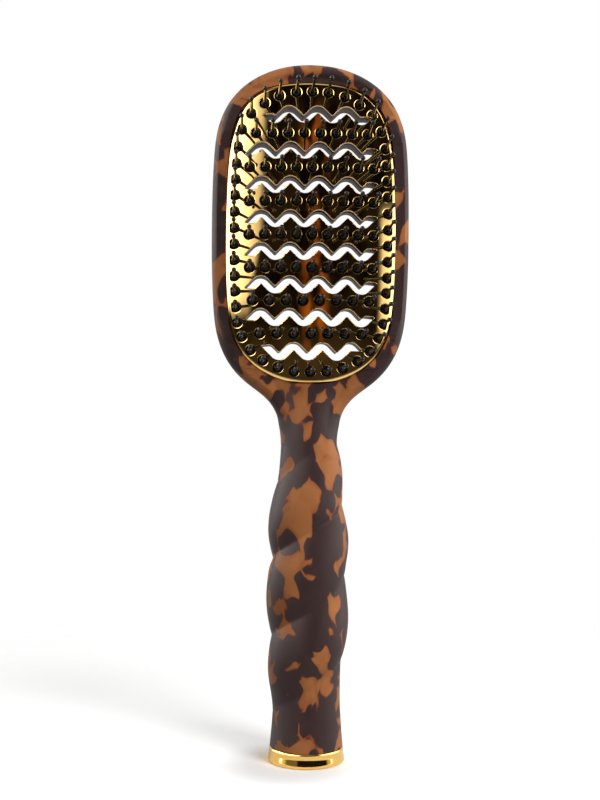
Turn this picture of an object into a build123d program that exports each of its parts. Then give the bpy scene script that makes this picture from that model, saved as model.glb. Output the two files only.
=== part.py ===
from build123d import *
import math
import os

# Vented paddle hairbrush, free standing on its end cap.
# Frame: origin at the centre of the end cap's bottom face, +Z up along the
# handle, pins pointing to -Y, +X to the right. Millimetres.

# ---------------------------------------------------------------- dimensions
TOTAL_LENGTH = 241.8        # end cap bottom to head top
RING_FRONT_Y = -5.2         # front of the frame ring round the plate
RING_BACK_Y = 4.2           # back of the head
RING_FILLET = 4.3           # rounding of the head's outer edges
DOME_APEX_Y = -9.3          # highest point of the plate
DOME_APEX_Z = 181.0
DOME_RADIUS_X = 106.0       # curvature of the plate across the head
DOME_RADIUS_Z = 340.0       # curvature of the plate along the head
PLATE_SKIN = 0.9            # thickness of the plate
SKIRT_Y = -2.3              # flat back edge of the plate's skirt
BED_FRONT = 1.0             # depths below the dome surface
BED_BACK_Y = -2.25          # flat back of the bed
DECK_Y = -2.2               # flat floor of the front shell's recess
HEAD_SEAM_Y = -1.0          # seam plane between the two shells in the head
BACK_DEPTH = 9.8            # dished back of the vented panel, below the dome
SEAM_Y = 0.8                # seam plane in the handle
SEAM_GAP = 0.02
SLOT_WIDTH = 2.63           # vent slots in the plate, square to their run
SLOT_TUNNEL_EXTRA = 0.3     # the tunnels behind are this much wider
SLOT_PITCH_HALF = 4.96      # crest to next trough along X
SLOT_RISE = 5.92            # bottom of a trough to top of a crest
PIN_TIP_Y = -24.0           # all pin tips lie in one plane
PIN_TIP_R = 0.8
PIN_ROOT_R = 0.62
PIN_NECK_R = 0.42
FOOT_R = 1.5                # ball foot of a pin
FOOT_DEPTH = 0.5            # foot centre below the dome surface
HOLE_R = 1.95               # hole in the plate round each foot
SEAT_R = 1.85               # ball seat in the bed
CAP_TOP = 5.2
CAP_R_TOP = 12.85
CAP_R_MAX = 13.35
BORE_R = 8.6                # hollow of the handle
BORE_TOP_R = 6.2

# Head outline, half widths by height.
HEAD = [(108.0, 6.5), (112.5, 8.75), (116.0, 9.9), (119.2, 10.95), (125.4, 14.6), (131.0, 21.6), (136.6, 27.1),
        (142.2, 30.35), (149.0, 32.5), (158.9, 33.65), (170.0, 34.15), (184.0, 34.3),
        (198.0, 34.15), (209.1, 33.7), (217.4, 32.8), (223.0, 31.25), (228.6, 28.4),
        (234.1, 23.45), (238.4, 16.6), (241.0, 8.6)]
# Plate outline, half widths by height.
PLATE = [(131.3, 5.8), (132.7, 11.3), (135.0, 16.4), (138.0, 20.6), (141.6, 23.8),
         (146.0, 26.3), (151.5, 27.9), (159.0, 28.8), (171.0, 29.3), (184.0, 29.4),
         (196.0, 29.2), (206.0, 28.8), (214.0, 28.0), (220.0, 26.7), (225.0, 24.5),
         (229.2, 21.2), (232.2, 16.8), (234.0, 11.3), (234.7, 5.6)]
PLATE_BOTTOM, PLATE_TOP = 130.9, 234.9

# Pins: (x, z) of each foot, by group. The head is symmetric about x = 0.
ROWS = {
    1: (216.9, 8, 5.50), 2: (205.0, 9, 5.34), 3: (193.3, 9, 5.34), 4: (181.8, 9, 5.34),
    5: (170.5, 9, 5.28), 6: (159.3, 8, 5.72), 7: (148.0, 7, 5.85),
}
TOP_PINS = [(0.0, 231.5), (5.5, 231.25), (11.3, 230.0), (16.4, 227.4)]
TOP_CORNER = [(20.9, 223.9), (24.1, 218.3)]
SIDE_PINS = [(25.5, 212.3), (25.85, 206.4), (26.15, 200.9), (26.35, 195.4),
             (26.45, 189.7), (26.5, 184.1), (26.5, 178.6), (26.4, 173.1),
             (26.3, 167.6), (26.1, 162.4), (25.8, 157.0), (25.25, 151.8)]
BOTTOM_CORNER = [(23.6, 146.9), (20.6, 142.3)]
BOTTOM_PINS = [(0.0, 135.0), (5.6, 135.2), (11.15, 136.4), (16.3, 138.8)]

# Vent slots: height of the trough bottoms, first bend, number of bends.
SLOTS = [
    # (trough bottom z, x of first bend, bends, first bend is a crest, left reach, right reach);
    # a reach is the length of the pointed end in X, None closes the slot on a level line
    (220.6, -12.9, 7, False, 4.2, None),
    (207.9, -17.3, 8, True, 5.7, 5.4),
    (196.0, -17.3, 8, True, 5.7, 5.4),
    (184.3, -17.3, 8, True, 5.7, 5.4),
    (173.1, -17.3, 8, True, 5.7, 5.4),
    (161.7, -17.3, 8, True, 5.5, 5.4),
    (150.6, -17.3, 8, True, 5.1, 4.75),
    (139.0, -10.75, 6, False, 6.2, None),
]

# Twisted handle: radius in the valley and on the lobe by height, one spiral
# lobe that climbs TWIST_PITCH in a turn.
TWIST_PITCH = 26.8
TWIST_LEAN = 2.87
TWIST_TOP, TWIST_BOTTOM = 97.2, 16.8
VALLEY_R = [(5.0, 12.75), (14.0, 12.0), (23.0, 11.6), (33.0, 11.7), (43.6, 12.35),
            (55.0, 12.4), (64.8, 12.3), (70.4, 12.0), (80.0, 12.0), (90.0, 11.6),
            (97.2, 10.6), (104.0, 9.95), (110.8, 9.63), (113.0, 9.6)]
LOBE_R = [(5.0, 12.75), (16.0, 12.15), (23.0, 12.7), (29.0, 13.4), (36.0, 13.9),
          (54.0, 14.35), (77.0, 14.15), (85.0, 13.6), (94.0, 12.5), (100.0, 11.9),
          (106.0, 11.0), (111.0, 9.9), (113.0, 9.6)]
# Neck above the twist: half width, half depth and centre in Y by height.
NECK = [(115.0, 9.5, 9.3, 0.0), (119.0, 9.9, 8.7, -0.1), (123.0, 11.2, 7.9, -0.2),
        (127.0, 13.3, 6.9, -0.3), (131.0, 15.8, 5.9, -0.4), (136.0, 18.3, 4.8, -0.5),
        (141.0, 20.0, 4.2, -0.5)]


# ------------------------------------------------------------------- helpers
def interp(table, z):
    if z <= table[0][0]:
        return table[0][1]
    for (a, va), (b, vb) in zip(table, table[1:]):
        if z <= b:
            s = (z - a) / (b - a)
            s = s * s * (3 - 2 * s) * 0.35 + s * 0.65
            return va + (vb - va) * s
    return table[-1][1]


def dome_y(x, z, depth=0.0):
    """Y of the surface that lies depth below the dome."""
    rz = DOME_RADIUS_Z - depth
    rx = DOME_RADIUS_X - DOME_RADIUS_Z + math.sqrt(rz * rz - (z - DOME_APEX_Z) ** 2)
    return DOME_APEX_Y + DOME_RADIUS_X - math.sqrt(rx * rx - x * x)


def behind(depth):
    """Everything on the back side of the surface that lies depth below the dome."""
    axis_y = DOME_APEX_Y + DOME_RADIUS_X
    z0, z1 = DOME_APEX_Z - 75, DOME_APEX_Z + 70
    ya, yb, ym = dome_y(0, z0, depth), dome_y(0, z1, depth), dome_y(0, DOME_APEX_Z, depth)
    back = 45.0
    edges = [ThreePointArc((0, ya, z0), (0, ym, DOME_APEX_Z), (0, yb, z1)),
             Line((0, yb, z1), (0, back, z1)),
             Line((0, back, z1), (0, back, z0)),
             Line((0, back, z0), (0, ya, z0))]
    face = Face(Wire(edges))
    axis = Axis((0, axis_y, 0), (0, 0, 1))
    face = face.rotate(axis, -27)
    return Solid.revolve(face, 54, axis)


def outline_face(right, top_z, bottom_z=None, y=-40.0):
    """Face square to Y from half widths by height, rounded at the top."""
    pts = [(w, y, z) for z, w in right] + [(0, y, top_z)]
    pts += [(-w, y, z) for z, w in reversed(right)]
    if bottom_z is None:
        edges = [Spline(*pts), Line(pts[-1], pts[0])]
    else:
        edges = [Spline(*([(0, y, bottom_z)] + pts), periodic=True)]
    return Face(Wire(edges))


def prism(face, length=80.0):
    return Solid.extrude(face, Vector(0, length, 0))


def scaled_table(table, inset):
    """The plate outline moved in by inset, square to the line."""
    full = [(0.0, PLATE_BOTTOM)] + [(w, z) for z, w in table] + [(0.0, PLATE_TOP)]
    out = []
    for i in range(1, len(full) - 1):
        (x0, z0), (x1, z1), (x2, z2) = full[i - 1], full[i], full[i + 1]
        tx, tz = x2 - x0, z2 - z0
        n = math.hypot(tx, tz)
        out.append((z1 + tx / n * inset, x1 - tz / n * inset))
    return out, PLATE_BOTTOM + inset, PLATE_TOP - inset


def plate_prism(inset, y=-40.0, length=80.0):
    table, low, high = scaled_table(PLATE, inset)
    return prism(outline_face(table, high, low, y), length)


def slot_face(slot, extra, y):
    """Wavy slot: a 45 degree zigzag with rounded bends and pointed ends."""
    bottom, x0, bends, crest_first, left, right = slot
    w = SLOT_WIDTH + extra
    p = SLOT_PITCH_HALF
    shift = w / math.sqrt(2.0)
    # centre line radius that gives the rise with 45 degree flanks
    rc = (p - (SLOT_RISE - SLOT_WIDTH)) / (2 * (math.sqrt(2) - 1))
    r_out, r_in = rc + w / 2, max(rc - w / 2, 0.25)
    mid = bottom + SLOT_RISE / 2
    xs = [x0 + i * p for i in range(bends)]
    crest = [(i % 2 == 0) == crest_first for i in range(bends)]
    raw = [(x, mid + (p / 2 if c else -p / 2)) for x, c in zip(xs, crest)]
    top = [(x, z + shift) for x, z in raw]
    low = [(x, z - shift) for x, z in raw]
    top_r = [r_out if c else r_in for c in crest]
    low_r = [r_in if c else r_out for c in crest]

    def end(side):
        """Points that close one end: tip, and an extra corner on the far edge."""
        sign = -1 if side == "left" else 1
        style = left if side == "left" else right
        i = 0 if side == "left" else -1
        is_crest = crest[i]
        if style is not None:
            reach = style + extra
            # the flank runs on from the last bend and is closed at a point
            if is_crest:            # flank falls outward, tip at the bottom
                tip = (top[i][0] + sign * reach, top[i][1] - reach)
                q = (low[i][0] + sign * (low[i][1] - tip[1] + 0.35), tip[1] - 0.35)
                return tip, q, "low"
            tip = (low[i][0] + sign * reach, low[i][1] + reach)
            q = (top[i][0] + sign * (tip[1] + 0.35 - top[i][1]), tip[1] + 0.35)
            return tip, q, "top"
        # cut: just past the last bend the slot is closed on a level line
        if is_crest:
            level = mid + SLOT_RISE / 2 - SLOT_WIDTH - extra
            tip = (top[i][0] + sign * (top[i][1] - level), level)
            q = (low[i][0] - sign * (low[i][1] - level), level)
            return tip, q, "swap_low"
        level = mid - SLOT_RISE / 2 + SLOT_WIDTH + extra
        tip = (low[i][0] + sign * (level - low[i][1]), level)
        q = (top[i][0] - sign * (level - top[i][1]), level)
        return tip, q, "swap_top"

    ltip, lq, lk = end("left")
    rtip, rq, rk = end("right")
    ring = [(ltip, 0.0)]
    tops = [(t, r) for t, r in zip(top, top_r)]
    lows = [(t, r) for t, r in zip(low, low_r)]
    if lk == "top":
        tops = [(lq, 1.6)] + tops
    elif lk == "low":
        lows = [(lq, 1.6)] + lows
    elif lk == "swap_top":
        tops = [(lq, 0.3)] + tops[1:]
    else:
        lows = [(lq, 0.3)] + lows[1:]
    if rk == "top":
        tops = tops + [(rq, 1.6)]
    elif rk == "low":
        lows = lows + [(rq, 1.6)]
    elif rk == "swap_top":
        tops = tops[:-1] + [(rq, 0.3)]
    else:
        lows = lows[:-1] + [(rq, 0.3)]
    ring += tops + [(rtip, 0.0)] + lows[::-1]
    return Face(rounded_ring(ring, y))


def rounded_ring(ring, y):
    """Closed wire through the corners, each rounded with its own radius."""
    n = len(ring)
    cuts = []
    for i in range(n):
        (px, pz), r = ring[i]
        ax, az = ring[i - 1][0]
        bx, bz = ring[(i + 1) % n][0]
        la, lb = math.hypot(ax - px, az - pz), math.hypot(bx - px, bz - pz)
        ua, ub = ((ax - px) / la, (az - pz) / la), ((bx - px) / lb, (bz - pz) / lb)
        if r <= 0:
            cuts.append(((px, pz), None, (px, pz)))
            continue
        dot = max(-1.0, min(1.0, ua[0] * ub[0] + ua[1] * ub[1]))
        half = math.acos(dot) / 2
        t = r / math.tan(half)
        limit = 0.49 * min(la, lb)
        if t > limit:
            r *= limit / t
            t = limit
        start = (px + ua[0] * t, pz + ua[1] * t)
        stop = (px + ub[0] * t, pz + ub[1] * t)
        bis = (ua[0] + ub[0], ua[1] + ub[1])
        bl = math.hypot(*bis)
        d = r / math.sin(half)
        c = (px + bis[0] / bl * d, pz + bis[1] / bl * d)
        midp = (c[0] - bis[0] / bl * r, c[1] - bis[1] / bl * r)
        cuts.append((start, midp, stop))
    edges = []
    for i in range(n):
        start, midp, stop = cuts[i]
        if midp is not None:
            edges.append(ThreePointArc((start[0], y, start[1]), (midp[0], y, midp[1]),
                                       (stop[0], y, stop[1])))
        nxt = cuts[(i + 1) % n][0]
        if math.hypot(nxt[0] - stop[0], nxt[1] - stop[1]) > 1e-6:
            edges.append(Line((stop[0], y, stop[1]), (nxt[0], y, nxt[1])))
    return Wire(edges)


def slot_prisms(extra, y=-40.0, length=80.0):
    return [prism(slot_face(s, extra, y), length) for s in SLOTS]


def twist_r(angle, z):
    """Handle radius; angle 0 at -X, a quarter turn at -Y, half a turn at +X."""
    t = (angle / (2 * math.pi)) % 1.0
    rise = TWIST_PITCH * t + TWIST_LEAN * (1 - math.cos(2 * math.pi * t))
    along = z - rise
    valley = interp(VALLEY_R, z)
    best = 0.0
    # the lobe between two valleys, only inside the twisted length
    if TWIST_BOTTOM < along < TWIST_TOP:
        phase = (along - TWIST_TOP) / TWIST_PITCH
        s = abs(math.sin(math.pi * phase))
        best = s ** 0.75
    return valley + (interp(LOBE_R, z) - valley) * best


def section(points, z):
    return Face(Wire([Spline(*[(x, y, z) for x, y in points], periodic=True)]))


def handle_solid():
    n = 28
    sections = []
    zs = [4.9 + 3.35 * i for i in range(32)] + [111.6]
    for z in zs:
        pts = []
        for k in range(n):
            a = 2 * math.pi * k / n
            r = twist_r(a, z)
            pts.append((-r * math.cos(a), -r * math.sin(a)))
        sections.append(section(pts, z))
    for z, hw, hd, yc in NECK:
        pts = []
        for k in range(n):
            a = 2 * math.pi * k / n
            pts.append((-hw * math.cos(a), yc - hd * math.sin(a)))
        sections.append(section(pts, z))
    return loft(sections)


def pin(x, z):
    """Ball foot, tapered shaft and ball tip as one turned solid along -Y."""
    yc = dome_y(x, z, FOOT_DEPTH)
    tip_c = PIN_TIP_Y + PIN_TIP_R
    y_foot = yc - math.sqrt(FOOT_R ** 2 - PIN_ROOT_R ** 2)
    y_ball = tip_c + math.sqrt(PIN_TIP_R ** 2 - PIN_NECK_R ** 2)
    edges = [
        ThreePointArc((0, yc + FOOT_R, 0), (FOOT_R, yc, 0), (PIN_ROOT_R, y_foot, 0)),
        Line((PIN_ROOT_R, y_foot, 0), (PIN_NECK_R, y_ball, 0)),
        ThreePointArc((PIN_NECK_R, y_ball, 0), (PIN_TIP_R, tip_c, 0), (0, PIN_TIP_Y, 0)),
        Line((0, PIN_TIP_Y, 0), (0, yc + FOOT_R, 0)),
    ]
    solid = Solid.revolve(Face(Wire(edges)), 360, Axis((0, 0, 0), (0, 1, 0)))
    return solid.moved(Location((x, 0, z)))


def both(points):
    return [(-x, z) for x, z in reversed(points) if x > 0] + list(points)


def cut_all(base, tools):
    out = base.cut(*tools)
    return only_solid(out)


def only_solid(shape):
    solids = shape.solids() if hasattr(shape, "solids") else [shape]
    return max(solids, key=lambda s: s.volume)


def write(shape, name):
    export_step(shape, os.path.join("parts", name + ".step"), write_pcurves=False)
    print(name, round(shape.volume, 1), shape.bounding_box().min, shape.bounding_box().max)


# --------------------------------------------------------------------- build
os.makedirs("parts", exist_ok=True)

groups = {}
for row, (z, count, pitch) in ROWS.items():
    groups["pins_row_%d" % row] = [((i - (count - 1) / 2) * pitch, z) for i in range(count)]
groups["pins_top"] = both(TOP_PINS)
groups["pins_bottom"] = both(BOTTOM_PINS)
groups["pins_corner_top_right"] = TOP_CORNER
groups["pins_corner_top_left"] = [(-x, z) for x, z in TOP_CORNER]
groups["pins_side_right"] = SIDE_PINS
groups["pins_side_left"] = [(-x, z) for x, z in SIDE_PINS]
groups["pins_corner_bottom_right"] = BOTTOM_CORNER
groups["pins_corner_bottom_left"] = [(-x, z) for x, z in BOTTOM_CORNER]
feet = [p for g in groups.values() for p in g]
print("pins", len(feet))

for name, points in groups.items():
    write(Compound(children=[pin(x, z) for x, z in points]), name)

# Domed face plate: skin, edge skirt, a hole round every foot, the vent slots.
plate = only_solid(plate_prism(0.0, -40.0, 40.0 + SKIRT_Y).intersect(behind(0.0)))
inner = only_solid(plate_prism(0.9).intersect(behind(PLATE_SKIN)))
plate = only_solid(plate.cut(inner))
holes = [Solid.make_cylinder(HOLE_R, 30, Plane((x, -20, z), x_dir=(1, 0, 0), z_dir=(0, 1, 0)))
         for x, z in feet]
plate = cut_all(plate, slot_prisms(0.0) + holes)
write(plate, "face_plate")

# Elastic bed behind the plate: domed front, flat back, a seat for every foot.
bed = only_solid(plate_prism(1.0, -40.0, 40.0 + BED_BACK_Y).intersect(behind(BED_FRONT)))
seats = [Solid.make_sphere(SEAT_R, Plane((x, dome_y(x, z, FOOT_DEPTH), z))) for x, z in feet]
bed = cut_all(bed, slot_prisms(SLOT_TUNNEL_EXTRA) + seats)
write(bed, "bristle_bed")

# Tortoiseshell body: head ring with rounded edges, joined to the twisted handle.
head = prism(outline_face(HEAD, TOTAL_LENGTH, None, RING_FRONT_Y), RING_BACK_Y - RING_FRONT_Y)
rim_edges = [e for e in head.edges()
             if e.geom_type == GeomType.BSPLINE and e.length > 50]
try:
    head = only_solid(head.fillet(RING_FILLET, rim_edges))
    print("head fillet done")
except Exception as problem:
    print("head fillet failed", problem)
    head = only_solid(head.chamfer(2.4, None, rim_edges))
handle = handle_solid()
handle = only_solid(handle)
body = only_solid(head.fuse(handle))
print("body", body.volume, body.is_valid)
recess = plate_prism(-0.04, -40.0, 40.0 + DECK_Y)
body = cut_all(body, [recess])
# the back panel follows the dome
dish = only_solid(plate_prism(1.5, -20.0, 60.0).intersect(behind(BACK_DEPTH)))
body = cut_all(body, [dish])
body = cut_all(body, slot_prisms(SLOT_TUNNEL_EXTRA))
# hollow of the handle
bore_edges = [Line((0, 0, -1), (BORE_R, 0, -1)), Line((BORE_R, 0, -1), (BORE_R, 0, 88)),
              Line((BORE_R, 0, 88), (BORE_TOP_R, 0, 101)),
              Line((BORE_TOP_R, 0, 101), (BORE_TOP_R, 0, 116)),
              Line((BORE_TOP_R, 0, 116), (0, 0, 121)), Line((0, 0, 121), (0, 0, -1))]
bore = Solid.revolve(Face(Wire(bore_edges)), 360, Axis.Z)
body = cut_all(body, [bore])
floor = Solid.make_box(60, 60, 10, Plane((-30, -30, CAP_TOP + 0.02 - 10)))
body = cut_all(body, [floor])

# the two shells meet on one plane in the handle and on another in the head
SEAM_Z = 126.0


def back_region(shift):
    low = Solid.make_box(100, 60, SEAM_Z + 10, Plane((-50, SEAM_Y + shift, -10)))
    high = Solid.make_box(100, 60, 130, Plane((-50, HEAD_SEAM_Y + shift, SEAM_Z)))
    return only_solid(low.fuse(high))


back_shell = only_solid(body.intersect(back_region(SEAM_GAP)))
front_shell = only_solid(body.cut(back_region(0.0)))
write(front_shell, "front_shell")
write(back_shell, "back_shell")

# End cap with its spigot, and the plug that holds the shells together above it.
profile = [Line((0, 0, 0.0), (CAP_R_MAX - 1.5, 0, 0.0)),
           ThreePointArc((CAP_R_MAX - 1.5, 0, 0.0), (CAP_R_MAX - 0.43934, 0, 0.43934), (CAP_R_MAX, 0, 1.5)),
           Line((CAP_R_MAX, 0, 1.5), (CAP_R_TOP + 0.05, 0, CAP_TOP - 0.8)),
           ThreePointArc((CAP_R_TOP + 0.05, 0, CAP_TOP - 0.8), (12.6, 0, CAP_TOP - 0.2),
                         (12.0, 0, CAP_TOP)),
           Line((12.0, 0, CAP_TOP), (8.5, 0, CAP_TOP)),
           Line((8.5, 0, CAP_TOP), (8.5, 0, 12.0)), Line((8.5, 0, 12.0), (7.0, 0, 12.0)),
           Line((7.0, 0, 12.0), (7.0, 0, 3.0)), Line((7.0, 0, 3.0), (0, 0, 3.0)),
           Line((0, 0, 3.0), (0, 0, 0.0))]
end_cap = Solid.revolve(Face(Wire(profile)), 360, Axis.Z)
write(end_cap, "end_cap")
plug_profile = [Line((3.0, 0, 12.05), (8.5, 0, 12.05)), Line((8.5, 0, 12.05), (8.5, 0, 20.0)),
                Line((8.5, 0, 20.0), (7.0, 0, 20.0)), Line((7.0, 0, 20.0), (7.0, 0, 14.0)),
                Line((7.0, 0, 14.0), (3.0, 0, 14.0)), Line((3.0, 0, 14.0), (3.0, 0, 12.05))]
plug = Solid.revolve(Face(Wire(plug_profile)), 360, Axis.Z)
write(plug, "end_cap_plug")
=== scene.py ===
import math

import bpy
import numpy as np
from mathutils import Vector, Matrix
from mathutils.geometry import delaunay_2d_cdt


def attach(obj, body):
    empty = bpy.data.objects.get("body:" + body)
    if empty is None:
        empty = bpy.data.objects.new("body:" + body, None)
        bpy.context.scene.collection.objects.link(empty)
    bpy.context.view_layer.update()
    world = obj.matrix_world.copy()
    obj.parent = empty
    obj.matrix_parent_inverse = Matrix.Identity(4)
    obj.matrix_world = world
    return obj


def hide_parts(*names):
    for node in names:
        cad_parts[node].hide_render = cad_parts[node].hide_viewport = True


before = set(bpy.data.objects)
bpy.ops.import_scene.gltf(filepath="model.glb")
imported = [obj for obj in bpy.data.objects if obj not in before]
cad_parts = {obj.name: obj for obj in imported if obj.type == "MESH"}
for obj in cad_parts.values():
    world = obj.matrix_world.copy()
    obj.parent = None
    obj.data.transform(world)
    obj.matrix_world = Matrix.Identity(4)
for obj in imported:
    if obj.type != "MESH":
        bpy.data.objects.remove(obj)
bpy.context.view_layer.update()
MM = 0.001

# ------------------------------------------------------------------ geometry data (mm)
TOTAL = 241.8
RING_FRONT, RING_BACK = -5.2, 4.2
APEX_Y, APEX_Z, RX, RZ = -9.3, 181.0, 106.0, 340.0
HOLE_R = 1.7
FOOT_R, FOOT_DEPTH = 1.42, 1.2
PIN_TIP_Y, PIN_TIP_R, PIN_ROOT_R, PIN_NECK_R = -24.0, 0.8, 0.62, 0.42
BACK_DEPTH = 9.8
PLATE_BACK, RIB_TOP, BED_FRONT, BED_BACK, DECK_FRONT = 0.85, 0.9, 1.1, 2.9, 3.0
RIB_WALL = 0.66
SLOT_W, SLOT_EXTRA, SLOT_HALF, SLOT_RISE = 2.63, 0.3, 4.96, 5.92

HEAD = [(112.0, 9.60), (119.2, 10.8), (125.4, 14.6), (131.0, 21.6), (136.6, 27.1),
        (142.2, 30.35), (149.0, 32.5), (158.9, 33.65), (170.0, 34.15), (184.0, 34.3),
        (198.0, 34.15), (209.1, 33.7), (217.4, 32.8), (223.0, 31.25), (228.6, 28.4),
        (234.1, 23.45), (238.4, 16.6), (241.0, 8.6)]
PLATE = [(131.3, 5.8), (132.7, 11.3), (135.0, 16.4), (138.0, 20.6), (141.6, 23.8),
         (146.0, 26.3), (151.5, 27.9), (159.0, 28.8), (171.0, 29.3), (184.0, 29.4),
         (196.0, 29.2), (206.0, 28.8), (214.0, 28.0), (220.0, 26.7), (225.0, 24.5),
         (229.2, 21.2), (232.2, 16.8), (234.0, 11.3), (234.7, 5.6)]
PLATE_BOTTOM, PLATE_TOP = 130.9, 234.9
ROWS = {1: (216.9, 8, 5.50), 2: (205.0, 9, 5.34), 3: (193.3, 9, 5.34), 4: (181.8, 9, 5.34),
        5: (170.5, 9, 5.28), 6: (159.3, 8, 5.72), 7: (148.0, 7, 5.85)}
TOP_PINS = [(0.0, 231.5), (5.5, 231.25), (11.3, 230.0), (16.4, 227.4)]
TOP_CORNER = [(20.9, 223.9), (24.1, 218.3)]
SIDE_PINS = [(25.5, 212.3), (25.85, 206.4), (26.15, 200.9), (26.35, 195.4),
             (26.45, 189.7), (26.5, 184.1), (26.5, 178.6), (26.4, 173.1),
             (26.3, 167.6), (26.1, 162.4), (25.8, 157.0), (25.25, 151.8)]
BOTTOM_CORNER = [(23.6, 146.9), (20.6, 142.3)]
BOTTOM_PINS = [(0.0, 135.0), (5.6, 135.2), (11.15, 136.4), (16.3, 138.8)]
SLOTS = [
    (220.6, -12.9, 7, False, 4.2, None),
    (207.9, -17.3, 8, True, 5.7, 5.4),
    (196.0, -17.3, 8, True, 5.7, 5.4),
    (184.3, -17.3, 8, True, 5.7, 5.4),
    (173.1, -17.3, 8, True, 5.7, 5.4),
    (161.7, -17.3, 8, True, 5.5, 5.4),
    (150.6, -17.3, 8, True, 5.1, 4.75),
    (139.0, -10.75, 6, False, 6.2, None),
]
TWIST_PITCH, TWIST_LEAN = 26.8, 2.87
TWIST_TOP, TWIST_BOTTOM = 97.2, 16.8
VALLEY_R = [(5.0, 12.75), (14.0, 12.0), (23.0, 11.6), (33.0, 11.7), (43.6, 12.35),
            (55.0, 12.4), (65.8, 12.7), (71.4, 12.05), (80.0, 12.0), (90.0, 11.6),
            (97.2, 10.6), (104.0, 9.95), (110.8, 9.63), (120.0, 9.6)]
LOBE_R = [(5.0, 12.75), (16.0, 12.15), (23.0, 12.7), (29.0, 13.4), (36.0, 13.9),
          (54.0, 14.35), (77.0, 14.15), (85.0, 13.6), (94.0, 12.5), (100.0, 11.9),
          (106.0, 11.0), (111.0, 9.9), (120.0, 9.6)]


def spline_table(table):
    """Smooth function through (z, value) pairs, monotone between them."""
    z = np.array([t[0] for t in table], float)
    v = np.array([t[1] for t in table], float)
    h = np.diff(z)
    d = np.diff(v) / h
    m = np.zeros(len(z))
    for i in range(1, len(z) - 1):
        if d[i - 1] * d[i] > 0:
            w1, w2 = 2 * h[i] + h[i - 1], h[i] + 2 * h[i - 1]
            m[i] = (w1 + w2) / (w1 / d[i - 1] + w2 / d[i])
        else:
            m[i] = 0
    m[0], m[-1] = d[0], d[-1]

    def f(q):
        q = np.asarray(q, float)
        qq = np.clip(q, z[0], z[-1])
        i = np.clip(np.searchsorted(z, qq) - 1, 0, len(z) - 2)
        t = (qq - z[i]) / h[i]
        t2, t3 = t * t, t * t * t
        return ((2 * t3 - 3 * t2 + 1) * v[i] + (t3 - 2 * t2 + t) * h[i] * m[i]
                + (-2 * t3 + 3 * t2) * v[i + 1] + (t3 - t2) * h[i] * m[i + 1])
    return f


def param_spline(points, n, closed=False):
    """Dense smooth curve through 2D points (natural or periodic cubic by chord length)."""
    p = np.array(points, float)
    if closed:
        p = np.vstack([p, p[:1]])
    s = np.concatenate([[0], np.cumsum(np.hypot(*np.diff(p, axis=0).T))])
    k = len(p)
    h = np.diff(s)
    if closed:
        m = k - 1
        a = np.zeros((m, m))
        r = np.zeros((m, 2))
        for i in range(m):
            hp, hn = h[i - 1], h[i]
            a[i, (i - 1) % m] += hp
            a[i, i] += 2 * (hp + hn)
            a[i, (i + 1) % m] += hn
            r[i] = 6 * ((p[i + 1] - p[i]) / hn - (p[i] - p[i - 1 if i else m - 1]) / hp)
        sol = np.linalg.solve(a, r)
        m2 = np.vstack([sol, sol[:1]])
    else:
        a = np.zeros((k, k))
        r = np.zeros((k, 2))
        a[0, 0] = a[-1, -1] = 1
        for i in range(1, k - 1):
            a[i, i - 1], a[i, i], a[i, i + 1] = h[i - 1], 2 * (h[i - 1] + h[i]), h[i]
            r[i] = 6 * ((p[i + 1] - p[i]) / h[i] - (p[i] - p[i - 1]) / h[i - 1])
        m2 = np.linalg.solve(a, r)
    q = np.linspace(0, s[-1], n, endpoint=not closed)
    i = np.clip(np.searchsorted(s, q, side="right") - 1, 0, k - 2)
    t, hh = q - s[i], h[i]
    a_, b_ = (s[i + 1] - q)[:, None], t[:, None]
    hh = hh[:, None]
    return (m2[i] * a_ ** 3 / (6 * hh) + m2[i + 1] * b_ ** 3 / (6 * hh)
            + (p[i] / hh - m2[i] * hh / 6) * a_ + (p[i + 1] / hh - m2[i + 1] * hh / 6) * b_)


def dome_y(x, z, depth=0.0):
    rz = RZ - depth
    rx = RX - RZ + np.sqrt(rz * rz - (z - APEX_Z) ** 2)
    return APEX_Y + RX - np.sqrt(np.maximum(rx * rx - x * x, 1e-6))


def dome_normal(x, z):
    """Unit normal of the dome, towards -Y."""
    e = 0.01
    gx = (dome_y(x + e, z) - dome_y(x - e, z)) / (2 * e)
    gz = (dome_y(x, z + e) - dome_y(x, z - e)) / (2 * e)
    n = np.stack([gx, -np.ones_like(gx), gz], axis=-1)
    return n / np.linalg.norm(n, axis=-1, keepdims=True)


def both(points):
    return [(-x, z) for x, z in reversed(points) if x > 0] + list(points)


groups = {}
for row, (z, count, pitch) in ROWS.items():
    groups["pins_row_%d" % row] = [((i - (count - 1) / 2) * pitch, z) for i in range(count)]
groups["pins_top"] = both(TOP_PINS)
groups["pins_bottom"] = both(BOTTOM_PINS)
groups["pins_corner_top_right"] = TOP_CORNER
groups["pins_corner_top_left"] = [(-x, z) for x, z in TOP_CORNER]
groups["pins_side_right"] = SIDE_PINS
groups["pins_side_left"] = [(-x, z) for x, z in SIDE_PINS]
groups["pins_corner_bottom_right"] = BOTTOM_CORNER
groups["pins_corner_bottom_left"] = [(-x, z) for x, z in BOTTOM_CORNER]
FEET = [p for g in groups.values() for p in g]

# plate outline, closed, counter-clockwise in (x, z)
PLATE_PTS = ([(0.0, PLATE_BOTTOM)] + [(w, z) for z, w in PLATE] + [(0.0, PLATE_TOP)]
             + [(-w, z) for z, w in reversed(PLATE)])


def plate_outline(n):
    return param_spline(PLATE_PTS, n, closed=True)


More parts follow.
